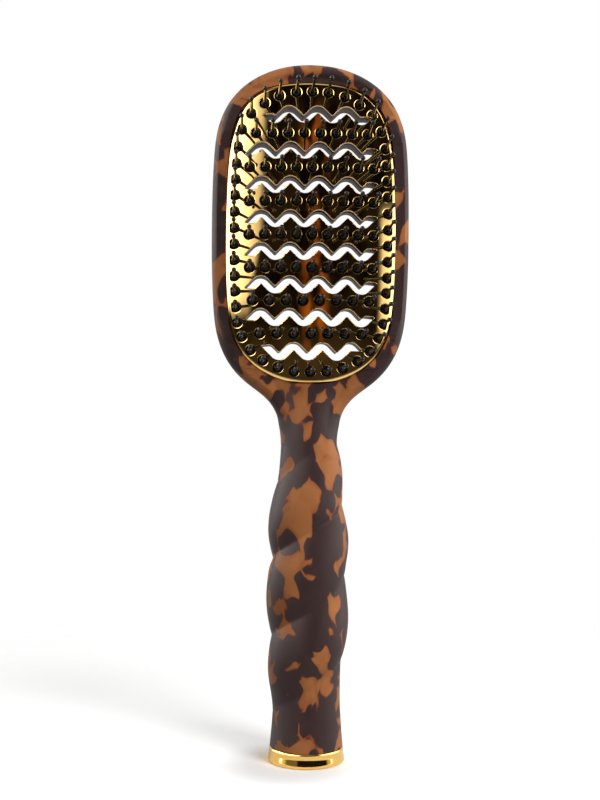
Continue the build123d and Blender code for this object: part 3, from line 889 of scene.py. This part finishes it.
def gold_material(name, roughness=0.035, tint=(0.94, 0.64, 0.24, 1.0)):
    m, nt, bsdf = new_material(name)
    bsdf.inputs["Metallic"].default_value = 1.0
    co = node(nt, "ShaderNodeTexCoord")
    # faint uneven plating: colour and polish drift, microscopic orange peel
    n1 = node(nt, "ShaderNodeTexNoise")
    n1.inputs["Scale"].default_value = 55.0
    n1.inputs["Detail"].default_value = 4.0
    nt.links.new(co.outputs["Object"], n1.inputs["Vector"])
    c = ramp(nt, [(0.3, (tint[0] * 0.96, tint[1] * 0.93, tint[2] * 0.88, 1)), (0.75, tint)])
    nt.links.new(n1.outputs["Fac"], c.inputs["Fac"])
    nt.links.new(c.outputs["Color"], bsdf.inputs["Base Color"])
    n2 = node(nt, "ShaderNodeTexNoise")
    n2.inputs["Scale"].default_value = 420.0
    n2.inputs["Detail"].default_value = 5.0
    nt.links.new(co.outputs["Object"], n2.inputs["Vector"])
    mr = node(nt, "ShaderNodeMapRange")
    mr.inputs["To Min"].default_value = roughness * 0.7
    mr.inputs["To Max"].default_value = roughness * 1.5
    nt.links.new(n2.outputs["Fac"], mr.inputs["Value"])
    nt.links.new(mr.outputs["Result"], bsdf.inputs["Roughness"])
    bump = node(nt, "ShaderNodeBump")
    bump.inputs["Strength"].default_value = 0.012
    bump.inputs["Distance"].default_value = 0.0003
    n3 = node(nt, "ShaderNodeTexNoise")
    n3.inputs["Scale"].default_value = 160.0
    n3.inputs["Detail"].default_value = 2.0
    nt.links.new(co.outputs["Object"], n3.inputs["Vector"])
    nt.links.new(n3.outputs["Fac"], bump.inputs["Height"])
    nt.links.new(bump.outputs["Normal"], bsdf.inputs["Normal"])
    return m


def tortoise_material(name="tortoise_satin"):
    m, nt, bsdf = new_material(name)
    co = node(nt, "ShaderNodeTexCoord")
    mp = node(nt, "ShaderNodeMapping")
    mp.inputs["Location"].default_value = (0.2343, -0.1547, 0.0669)
    mp.inputs["Scale"].default_value = (1.0, 0.85, 0.66)
    nt.links.new(co.outputs["Object"], mp.inputs["Vector"])
    # warp the space so that the cells get uneven, slanted outlines
    warp = node(nt, "ShaderNodeTexNoise")
    warp.inputs["Scale"].default_value = 120.0
    warp.inputs["Detail"].default_value = 1.6
    warp.inputs["Roughness"].default_value = 0.4
    nt.links.new(mp.outputs["Vector"], warp.inputs["Vector"])
    sub = node(nt, "ShaderNodeVectorMath", operation="SUBTRACT")
    sub.inputs[1].default_value = (0.5, 0.5, 0.5)
    nt.links.new(warp.outputs["Color"], sub.inputs[0])
    sc = node(nt, "ShaderNodeVectorMath", operation="SCALE")
    sc.inputs["Scale"].default_value = 0.0075
    nt.links.new(sub.outputs["Vector"], sc.inputs[0])
    add = node(nt, "ShaderNodeVectorMath", operation="ADD")
    nt.links.new(mp.outputs["Vector"], add.inputs[0])
    nt.links.new(sc.outputs["Vector"], add.inputs[1])
    # dark cells, with amber in the channels between them where the channels open up
    near = []
    for feature in ("F1", "F2"):
        vor = node(nt, "ShaderNodeTexVoronoi", feature=feature)
        vor.inputs["Scale"].default_value = 138.0
        vor.inputs["Randomness"].default_value = 1.0
        nt.links.new(add.outputs["Vector"], vor.inputs["Vector"])
        near.append(vor.outputs["Distance"])
    gap = node(nt, "ShaderNodeMath", operation="SUBTRACT")
    nt.links.new(near[1], gap.inputs[0])
    nt.links.new(near[0], gap.inputs[1])
    half_gap = node(nt, "ShaderNodeMath", operation="MULTIPLY")
    half_gap.inputs[1].default_value = 0.62
    nt.links.new(gap.outputs["Value"], half_gap.inputs[0])
    big = node(nt, "ShaderNodeTexNoise")
    big.inputs["Scale"].default_value = 118.0
    big.inputs["Detail"].default_value = 1.0
    big.inputs["Roughness"].default_value = 0.45
    nt.links.new(add.outputs["Vector"], big.inputs["Vector"])
    width = node(nt, "ShaderNodeMapRange")
    width.clamp = False
    width.inputs["From Min"].default_value = 0.465
    width.inputs["From Max"].default_value = 0.66
    width.inputs["To Min"].default_value = -0.03
    width.inputs["To Max"].default_value = 0.30
    nt.links.new(big.outputs["Fac"], width.inputs["Value"])
    val = node(nt, "ShaderNodeMath", operation="SUBTRACT")
    nt.links.new(width.outputs["Result"], val.inputs[0])
    nt.links.new(half_gap.outputs["Value"], val.inputs[1])
    norm = node(nt, "ShaderNodeMapRange")
    norm.inputs["From Min"].default_value = -0.06
    norm.inputs["From Max"].default_value = 0.14
    nt.links.new(val.outputs["Value"], norm.inputs["Value"])
    dark = srgb(50, 36, 35)
    dark2 = srgb(56, 40, 37)
    red = srgb(106, 52, 34)
    amber = srgb(136, 82, 46)
    light = srgb(148, 94, 54)
    cr = ramp(nt, [(0.0, dark), (0.24, dark2), (0.33, red), (0.42, amber), (1.0, light)])
    nt.links.new(norm.outputs["Result"], cr.inputs["Fac"])
    # fine cloudy mottling inside the patches
    fine = node(nt, "ShaderNodeTexNoise")
    fine.inputs["Scale"].default_value = 210.0
    fine.inputs["Detail"].default_value = 4.0
    nt.links.new(add.outputs["Vector"], fine.inputs["Vector"])
    fr = ramp(nt, [(0.3, (0.84, 0.80, 0.78, 1)), (0.7, (1.06, 1.06, 1.06, 1))])
    nt.links.new(fine.outputs["Fac"], fr.inputs["Fac"])
    mul = node(nt, "ShaderNodeMix", data_type="RGBA", blend_type="MULTIPLY")
    mul.inputs[0].default_value = 1.0
    nt.links.new(cr.outputs["Color"], mul.inputs[6])
    nt.links.new(fr.outputs["Color"], mul.inputs[7])
    nt.links.new(mul.outputs[2], bsdf.inputs["Base Color"])
    mr = node(nt, "ShaderNodeMapRange")
    mr.inputs["To Min"].default_value = 0.44
    mr.inputs["To Max"].default_value = 0.54
    nt.links.new(fine.outputs["Fac"], mr.inputs["Value"])
    nt.links.new(mr.outputs["Result"], bsdf.inputs["Roughness"])
    grain = node(nt, "ShaderNodeTexNoise")
    grain.inputs["Scale"].default_value = 1900.0
    grain.inputs["Detail"].default_value = 3.0
    nt.links.new(co.outputs["Object"], grain.inputs["Vector"])
    bump = node(nt, "ShaderNodeBump")
    bump.inputs["Strength"].default_value = 0.08
    bump.inputs["Distance"].default_value = 0.00012
    nt.links.new(grain.outputs["Fac"], bump.inputs["Height"])
    nt.links.new(bump.outputs["Normal"], bsdf.inputs["Normal"])
    bsdf.inputs["Specular IOR Level"].default_value = 0.18
    return m


def black_material(name, rough_low, rough_high, colour=(0.012, 0.010, 0.010, 1)):
    m, nt, bsdf = new_material(name)
    co = node(nt, "ShaderNodeTexCoord")
    n1 = node(nt, "ShaderNodeTexNoise")
    n1.inputs["Scale"].default_value = 900.0
    n1.inputs["Detail"].default_value = 4.0
    nt.links.new(co.outputs["Object"], n1.inputs["Vector"])
    c = ramp(nt, [(0.3, tuple(v * 0.75 for v in colour[:3]) + (1,)), (0.8, tuple(v * 1.35 for v in colour[:3]) + (1,))])
    nt.links.new(n1.outputs["Fac"], c.inputs["Fac"])
    nt.links.new(c.outputs["Color"], bsdf.inputs["Base Color"])
    mr = node(nt, "ShaderNodeMapRange")
    mr.inputs["To Min"].default_value = rough_low
    mr.inputs["To Max"].default_value = rough_high
    nt.links.new(n1.outputs["Fac"], mr.inputs["Value"])
    nt.links.new(mr.outputs["Result"], bsdf.inputs["Roughness"])
    bump = node(nt, "ShaderNodeBump")
    bump.inputs["Strength"].default_value = 0.04
    bump.inputs["Distance"].default_value = 0.0001
    nt.links.new(n1.outputs["Fac"], bump.inputs["Height"])
    nt.links.new(bump.outputs["Normal"], bsdf.inputs["Normal"])
    bsdf.inputs["Specular IOR Level"].default_value = 0.3
    return m


def set_material(obj, mat):
    obj.data.materials.clear()
    obj.data.materials.append(mat)


GOLD = gold_material("gilt_mirror")
GOLD_CAP = gold_material("gilt_cap", 0.05, (0.94, 0.61, 0.18, 1.0))
TORTOISE = tortoise_material()
NYLON = black_material("pin_nylon_gloss", 0.22, 0.34, (0.007, 0.006, 0.006, 1))
RUBBER = black_material("bed_elastomer", 0.5, 0.65, (0.009, 0.008, 0.007, 1))

# ------------------------------------------------------------------ pieces
plate = build_plate()
set_material(plate, GOLD)
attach(plate, "root")
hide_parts("face_plate")

body = build_body()
pocket_loop = offset_loop(plate_outline(220), -0.12)
ribs = [slot_loop(s, SLOT_EXTRA + 2 * RIB_WALL) for s in SLOTS]
cutters = [region_solid("c_deck", pocket_loop, ribs, level(-40.0), below_dome(DECK_FRONT)),
           region_solid("c_ribs", pocket_loop, [], level(-41.0), below_dome(RIB_TOP)),
           region_solid("c_dish", offset_loop(plate_outline(220), 1.5), [], below_dome(BACK_DEPTH), level(30.0))]
for k, s in enumerate(SLOTS):
    cutters.append(prism_from_loop("c_slot%d" % k, slot_loop(s, SLOT_EXTRA), -30.0, 30.0))
apply_boolean(body, cutters)
mark_sharp(body, 38)
set_material(body, TORTOISE)
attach(body, "root")
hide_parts("front_shell", "back_shell")

for name, points in groups.items():
    obj = build_pins(name, points)
    set_material(obj, NYLON)
    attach(obj, name)
    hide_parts(name)

cap = build_cap()
set_material(cap, GOLD_CAP)
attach(cap, "root")
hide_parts("end_cap")

bed = region_solid("bristle_bed_web", offset_loop(plate_outline(220), 0.9),
                   [slot_loop(s, SLOT_EXTRA + 2 * RIB_WALL + 0.1) for s in SLOTS],
                   below_dome(BED_FRONT), below_dome(BED_BACK), smooth=True)
mark_sharp(bed, 35)
set_material(bed, RUBBER)
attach(bed, "root")
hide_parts("bristle_bed")

set_material(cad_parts["end_cap_plug"], NYLON)

# ------------------------------------------------------------------ stage
scene = bpy.context.scene
FLOOR_GLOW = 0.40


def maths(nt, op, a, b=None, c=None):
    n = node(nt, "ShaderNodeMath", operation=op)
    for i, v in enumerate((a, b, c)):
        if v is None:
            continue
        if isinstance(v, (int, float)):
            n.inputs[i].default_value = v
        else:
            nt.links.new(v, n.inputs[i])
    return n.outputs[0]


def smooth(nt, value, lo, hi):
    """0 at lo, 1 at hi, with soft ends; lo may be above hi."""
    n = node(nt, "ShaderNodeMapRange", interpolation_type="SMOOTHSTEP")
    if lo < hi:
        n.inputs["From Min"].default_value, n.inputs["From Max"].default_value = lo, hi
        n.inputs["To Min"].default_value, n.inputs["To Max"].default_value = 0.0, 1.0
    else:
        n.inputs["From Min"].default_value, n.inputs["From Max"].default_value = hi, lo
        n.inputs["To Min"].default_value, n.inputs["To Max"].default_value = 1.0, 0.0
    nt.links.new(value, n.inputs["Value"])
    return n.outputs["Result"]


def remap_value(nt, value, a0, a1, b0, b1):
    n = node(nt, "ShaderNodeMapRange")
    n.inputs["From Min"].default_value, n.inputs["From Max"].default_value = a0, a1
    n.inputs["To Min"].default_value, n.inputs["To Max"].default_value = b0, b1
    nt.links.new(value, n.inputs["Value"])
    return n.outputs["Result"]


def product(nt, *values):
    out = values[0]
    for v in values[1:]:
        out = maths(nt, "MULTIPLY", out, v)
    return out


# pale floor that fades into the white surroundings
floor_mesh = bpy.data.meshes.new("floor")
fv, ff = [(0.0, 0.0, 0.0)], []
for ring_r in (0.06, 0.14, 0.24, 0.36):
    fv += [(ring_r * math.cos(t), ring_r * math.sin(t), 0.0)
           for t in np.linspace(0, 2 * math.pi, 96, endpoint=False)]
ff += [(0, 1 + i, 1 + (i + 1) % 96) for i in range(96)]
for k in range(3):
    a0, b0 = 1 + k * 96, 1 + (k + 1) * 96
    ff += [(a0 + i, b0 + i, b0 + (i + 1) % 96, a0 + (i + 1) % 96) for i in range(96)]
floor_mesh.from_pydata(fv, [], ff)
floor = bpy.data.objects.new("floor", floor_mesh)
scene.collection.objects.link(floor)
floor_mat = bpy.data.materials.new("floor_pale")
floor_mat.use_nodes = True
fnt = floor_mat.node_tree
for n in list(fnt.nodes):
    fnt.nodes.remove(n)
f_out = node(fnt, "ShaderNodeOutputMaterial")
f_diff = node(fnt, "ShaderNodeBsdfDiffuse")
f_emit = node(fnt, "ShaderNodeEmission")
f_emit.inputs["Color"].default_value = (1, 1, 1, 1)
f_path = node(fnt, "ShaderNodeLightPath")
# soft contact shade painted round the foot: the floor's glow for the camera is lowered near the base
f_near = node(fnt, "ShaderNodeTexCoord")
f_dist = node(fnt, "ShaderNodeVectorMath", operation="DISTANCE")
f_dist.inputs[1].default_value = (-0.006, -0.008, 0.0)
fnt.links.new(f_near.outputs["Object"], f_dist.inputs[0])
f_glow_painted_shade = maths(fnt, "MULTIPLY_ADD", smooth(fnt, f_dist.outputs["Value"], 0.033, 0.010), -0.38, FLOOR_GLOW)
glow = maths(fnt, "MULTIPLY_ADD", f_path.outputs["Is Camera Ray"], f_glow_painted_shade,
             maths(fnt, "MULTIPLY", f_path.outputs["Is Glossy Ray"], 0.06))
fnt.links.new(glow, f_emit.inputs["Strength"])
f_tone = maths(fnt, "SUBTRACT", 0.80, maths(fnt, "MULTIPLY", f_path.outputs["Is Diffuse Ray"], 0.50))
fnt.links.new(f_tone, f_diff.inputs["Color"])
f_add = node(fnt, "ShaderNodeAddShader")
fnt.links.new(f_diff.outputs[0], f_add.inputs[0])
fnt.links.new(f_emit.outputs[0], f_add.inputs[1])
f_clear = node(fnt, "ShaderNodeBsdfTransparent")
f_mix = node(fnt, "ShaderNodeMixShader")
f_co = node(fnt, "ShaderNodeTexCoord")
f_len = node(fnt, "ShaderNodeVectorMath", operation="LENGTH")
fnt.links.new(f_co.outputs["Object"], f_len.inputs[0])
f_fade = smooth(fnt, f_len.outputs["Value"], 0.15, 0.34)
fnt.links.new(f_fade, f_mix.inputs["Fac"])
fnt.links.new(f_add.outputs[0], f_mix.inputs[1])
fnt.links.new(f_clear.outputs[0], f_mix.inputs[2])
fnt.links.new(f_mix.outputs[0], f_out.inputs["Surface"])
set_material(floor, floor_mat)


def area(name, loc, target, size, size_y, power, colour=(1, 1, 1), in_reflections=True):
    light = bpy.data.lights.new(name, "AREA")
    light.shape = "RECTANGLE"
    light.size, light.size_y = size, size_y
    light.energy = power
    light.color = colour
    obj = bpy.data.objects.new(name, light)
    scene.collection.objects.link(obj)
    obj.location = loc
    d = Vector(target) - Vector(loc)
    obj.rotation_euler = d.to_track_quat("-Z", "Y").to_euler()
    obj.visible_glossy = in_reflections
    return obj


# low dark flag in front of the cap, seen only by mirror-like reflections
flag_mesh = bpy.data.meshes.new("flag")
flag_mesh.from_pydata([(-0.90, -0.16, 0.0), (0.90, -0.16, 0.0), (0.90, -0.16, 0.036), (-0.90, -0.16, 0.036)],
                      [], [(0, 1, 2, 3)])
flag = bpy.data.objects.new("flag", flag_mesh)
scene.collection.objects.link(flag)
flag_mat = bpy.data.materials.new("flag_dark")
flag_mat.use_nodes = True
gnt = flag_mat.node_tree
for n in list(gnt.nodes):
    gnt.nodes.remove(n)
g_out = node(gnt, "ShaderNodeOutputMaterial")
g_emit = node(gnt, "ShaderNodeEmission")
g_emit.inputs["Color"].default_value = (1.0, 0.85, 0.6, 1)
g_co = node(gnt, "ShaderNodeTexCoord")
g_sep = node(gnt, "ShaderNodeSeparateXYZ")
gnt.links.new(g_co.outputs["Object"], g_sep.inputs["Vector"])
g_level = maths(gnt, "MULTIPLY_ADD", smooth(gnt, g_sep.outputs["X"], -0.075, -0.095), 0.17, 0.012)
g_side = maths(gnt, "ADD", smooth(gnt, g_sep.outputs["X"], -0.26, -0.46), smooth(gnt, g_sep.outputs["X"], 0.25, 0.36))
g_level = maths(gnt, "MULTIPLY_ADD", g_side, 0.62, g_level)
gnt.links.new(g_level, g_emit.inputs["Strength"])
gnt.links.new(g_emit.outputs[0], g_out.inputs["Surface"])
set_material(flag, flag_mat)
for attr in ("visible_camera", "visible_diffuse", "visible_shadow", "visible_transmission",
             "visible_volume_scatter"):
    setattr(flag, attr, False)

# broad fill that shapes the satin body, and the key that draws the floor shadow
area("fill_front", (0.62, -1.05, 0.50), (0, 0, 0.12), 0.8, 0.8, 10.0, in_reflections=False)
area("key_top", (0.36, -0.46, 0.78), (0, 0, 0.03), 0.30, 0.30, 4.0, in_reflections=False)

# the rest of the studio: soft boxes at the left and the right, a dim warm strip
# towards the camera, and a pale surround behind the brush
world = bpy.data.worlds.new("studio")
scene.world = world
world.use_nodes = True
wnt = world.node_tree
for n in list(wnt.nodes):
    wnt.nodes.remove(n)
w_out = node(wnt, "ShaderNodeOutputWorld")
w_mix = node(wnt, "ShaderNodeMixShader")
w_path = node(wnt, "ShaderNodeLightPath")
w_cam = node(wnt, "ShaderNodeBackground")
w_cam.inputs["Color"].default_value = (1, 1, 1, 1)
w_env = node(wnt, "ShaderNodeBackground")
w_co = node(wnt, "ShaderNodeTexCoord")
w_sep = node(wnt, "ShaderNodeSeparateXYZ")
wnt.links.new(w_co.outputs["Generated"], w_sep.inputs["Vector"])
WX, WY, WZ = w_sep.outputs
# degrees: azimuth 0 towards -Y, positive to +X; elevation 0 at the horizon
AZ = maths(wnt, "MULTIPLY", maths(wnt, "ARCTAN2", WX, maths(wnt, "MULTIPLY", WY, -1.0)), 180 / math.pi)
EL = maths(wnt, "MULTIPLY", maths(wnt, "ARCSINE", WZ), 180 / math.pi)
w_noise = node(wnt, "ShaderNodeTexNoise")
w_noise.inputs["Scale"].default_value = 9.0
w_noise.inputs["Detail"].default_value = 2.0
wnt.links.new(w_co.outputs["Generated"], w_noise.inputs["Vector"])
NOISE = w_noise.outputs["Fac"]


def patch(az0, az1, el0, el1, soft_az, soft_el, az=AZ, el=EL):
    return product(wnt, smooth(wnt, az, az0 - soft_az, az0 + soft_az),
                   smooth(wnt, az, az1 + soft_az, az1 - soft_az),
                   smooth(wnt, el, el0 - soft_el, el0 + soft_el),
                   smooth(wnt, el, el1 + soft_el, el1 - soft_el))


layers = []
# surround: dark towards the camera, pale behind
back = smooth(wnt, WY, -0.25, 0.75)
layers.append((maths(wnt, "MULTIPLY_ADD", back, 0.75, 0.0), (1.0, 1.0, 1.0)))
layers.append((remap_value(wnt, NOISE, 0.35, 0.65, 0.003, 0.016), (1.0, 0.76, 0.7)))
# left soft box, its inner edge leaning out lower down
lean = remap_value(wnt, EL, 0.0, 9.0, 5.0, 0.0)
az_l = maths(wnt, "ADD", AZ, lean)
box_l = patch(-128.0, -18.0, -2.0, 45.0, 1.6, 3.0, az=az_l)
grade_l = remap_value(wnt, AZ, -38.0, -18.0, 3.2, 0.62)
layers.append((product(wnt, box_l, grade_l), (1.0, 0.97, 0.93)))
rim_l = patch(-128.0, -27.0, -2.0, 45.0, 7.0, 3.0, az=az_l)
layers.append((maths(wnt, "MULTIPLY", rim_l, 2.4), (1.0, 0.98, 0.95)))
# right soft boxes
box_r = patch(32.5, 120.0, -9.0, 12.5, 1.6, 2.5)
grade_r = remap_value(wnt, AZ, 32.0, 48.0, 0.8, 4.2)
layers.append((product(wnt, box_r, grade_r), (1.0, 0.97, 0.93)))
box_r2 = patch(46.0, 120.0, 10.0, 55.0, 3.0, 4.0)
layers.append((maths(wnt, "MULTIPLY", box_r2, 2.6), (1.0, 0.98, 0.95)))
# warm strip
strip = patch(-1.0, 9.0, -8.0, 28.0, 3.0, 4.0)
strip_n = smooth(wnt, NOISE, 0.42, 0.60)
layers.append((product(wnt, strip, strip_n), (0.34, 0.10, 0.014)))
# overhead
layers.append((maths(wnt, "MULTIPLY", smooth(wnt, EL, 55.0, 75.0), 0.8), (1.0, 1.0, 1.0)))
# below the horizon, past the floor
layers.append((maths(wnt, "MULTIPLY", smooth(wnt, EL, -4.0, -12.0), 0.035), (1.0, 0.80, 0.55)))
layers.append((maths(wnt, "MULTIPLY", smooth(wnt, EL, -18.0, -36.0), 0.55), (1.0, 0.97, 0.92)))
total = None
for fac, colour in layers:
    sc = node(wnt, "ShaderNodeVectorMath", operation="SCALE")
    sc.inputs[0].default_value = colour
    wnt.links.new(fac, sc.inputs["Scale"])
    if total is None:
        total = sc.outputs["Vector"]
    else:
        ad = node(wnt, "ShaderNodeVectorMath", operation="ADD")
        wnt.links.new(total, ad.inputs[0])
        wnt.links.new(sc.outputs["Vector"], ad.inputs[1])
        total = ad.outputs["Vector"]
wnt.links.new(total, w_env.inputs["Color"])
# soft ambient light, stronger from the right and from above
w_soft = node(wnt, "ShaderNodeBackground")
w_soft.inputs["Color"].default_value = (1.0, 0.99, 0.98, 1)
ambient = maths(wnt, "ADD", maths(wnt, "MULTIPLY", smooth(wnt, WX, -0.4, 0.9), 0.40),
                maths(wnt, "MULTIPLY_ADD", smooth(wnt, WZ, -0.2, 0.9), 0.30, 0.12))
wnt.links.new(ambient, w_soft.inputs["Strength"])
w_mix2 = node(wnt, "ShaderNodeMixShader")
wnt.links.new(w_path.outputs["Is Glossy Ray"], w_mix2.inputs["Fac"])
wnt.links.new(w_soft.outputs["Background"], w_mix2.inputs[1])
wnt.links.new(w_env.outputs["Background"], w_mix2.inputs[2])
wnt.links.new(w_path.outputs["Is Camera Ray"], w_mix.inputs["Fac"])
wnt.links.new(w_mix2.outputs["Shader"], w_mix.inputs[1])
wnt.links.new(w_cam.outputs["Background"], w_mix.inputs[2])
wnt.links.new(w_mix.outputs["Shader"], w_out.inputs["Surface"])

# ------------------------------------------------------------------ camera
FOCAL_PX, DIST = 1204.0, 0.420
cam_data = bpy.data.cameras.new("camera")
cam_data.sensor_fit = "VERTICAL"
cam_data.sensor_height = 24.0
cam_data.lens = FOCAL_PX * 24.0 / 800.0
cam_data.clip_start = 0.01
cam_data.clip_end = 20.0
cam = bpy.data.objects.new("camera", cam_data)
scene.collection.objects.link(cam)
YAW = math.radians(2.52)       # the camera looks this much to the right of +Y
SIDE = math.atan((308.8 - 300.0) / FOCAL_PX) + YAW
cam.location = (-DIST * math.sin(SIDE), -DIST * math.cos(SIDE), 0.1167)
cam.rotation_euler = (math.radians(90.0), math.radians(-0.48), -YAW)
cam_data.shift_y = 25.0 / 800.0
scene.camera = cam

scene.view_settings.view_transform = "Standard"
scene.view_settings.look = "None"
scene.view_settings.exposure = 0.0
